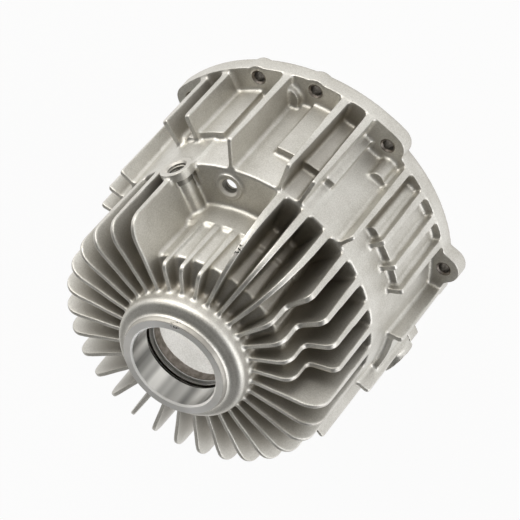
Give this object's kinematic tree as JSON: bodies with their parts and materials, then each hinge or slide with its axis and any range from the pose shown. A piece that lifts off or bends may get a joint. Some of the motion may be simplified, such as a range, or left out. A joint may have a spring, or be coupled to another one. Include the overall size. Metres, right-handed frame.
{
  "type": "brake housing",
  "caption": "Finned round end housing of a brake: a cast bell on a bolted flange, with cooling fins around its nose and a machined seat in it.",
  "frame": {"origin": "on the axis of the seat, in the plane of the mounting face", "axes": "+Z along the axis towards the nose; -Y towards the front, where the slanted fins are"},
  "size_m": [0.1981, 0.2028, 0.1534],
  "materials": {
    "cast_aluminium": "satin, fine as-cast skin with machined faces"
  },
  "bodies": {
    "root": {"housing": "cast_aluminium"}
  },
  "joints": []
}
